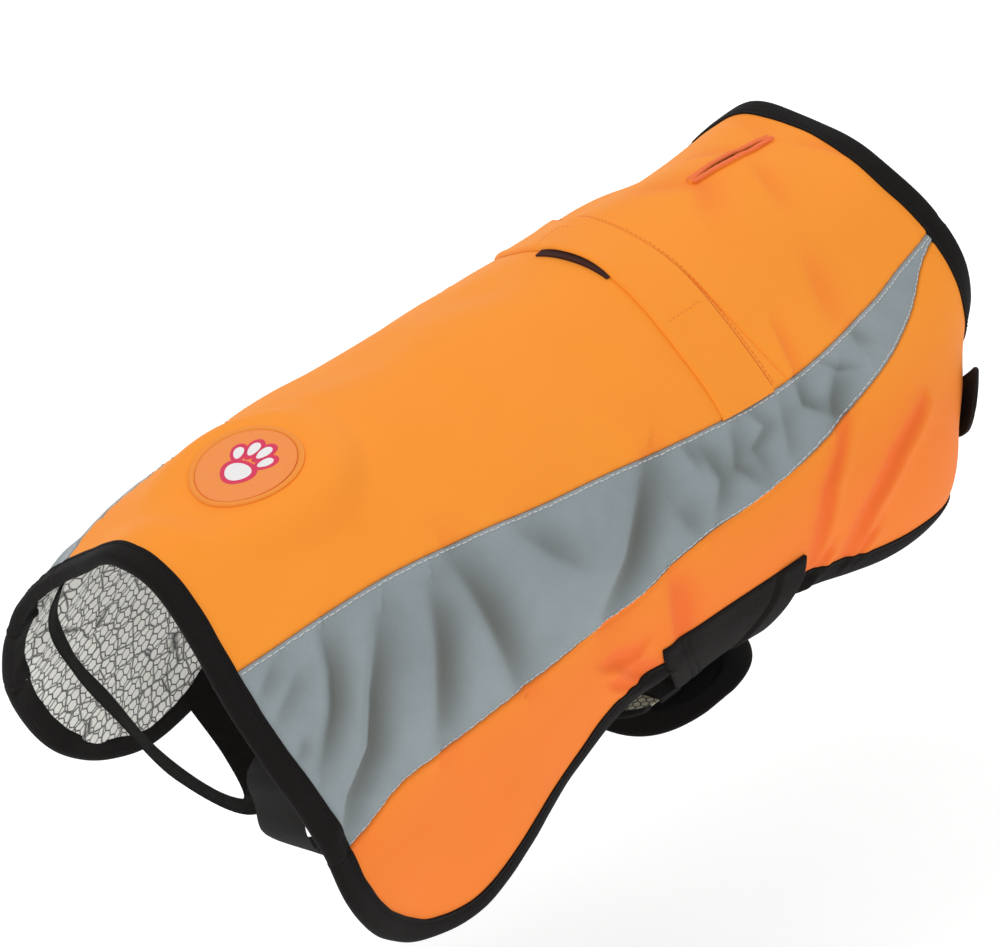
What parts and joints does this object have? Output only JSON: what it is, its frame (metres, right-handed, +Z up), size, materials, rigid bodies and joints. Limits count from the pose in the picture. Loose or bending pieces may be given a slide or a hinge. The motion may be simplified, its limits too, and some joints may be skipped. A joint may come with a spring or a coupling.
{
  "type": "dog vest",
  "caption": "High-visibility dog vest in its hollow worn form, with grey reflective side inserts, black bound edges, a belly band, leg loops and a mesh lining.",
  "frame": {"origin": "inner face of the lining over the middle of the back, 229 mm in front of the tail edge, where the wearer's back carries the vest", "axes": "+Y along the back towards the neck, +X to the wearer's right, +Z up"},
  "size_m": [0.2364, 0.4818, 0.2168],
  "materials": {
    "orange_cloth": "smooth woven high-visibility orange cloth",
    "reflective_cloth": "grey retroreflective cloth, satin",
    "black_trim": "black folded tape and elastic, matt",
    "mesh_lining": "cream knit with a black hexagon net",
    "badge": "moulded soft rubber"
  },
  "bodies": {
    "root": {"back_rear": "orange_cloth", "back_front": "orange_cloth", "cross_flap": "orange_cloth", "lead_slit": "orange_cloth", "side_right": "orange_cloth", "side_left": "orange_cloth", "insert_right": "reflective_cloth", "insert_left": "reflective_cloth", "binding_rear": "black_trim", "binding_neck": "black_trim", "binding_leg_right": "black_trim", "binding_leg_left": "black_trim", "band_right": "black_trim", "band_left": "black_trim", "lobe_border": "black_trim", "chest_tab": "black_trim", "leg_loop_right": "black_trim", "leg_loop_left": "black_trim", "hook_tape": "black_trim", "lining_right": "mesh_lining", "lining_left": "mesh_lining", "belly_facing": "mesh_lining", "badge": "badge"}
  },
  "joints": []
}
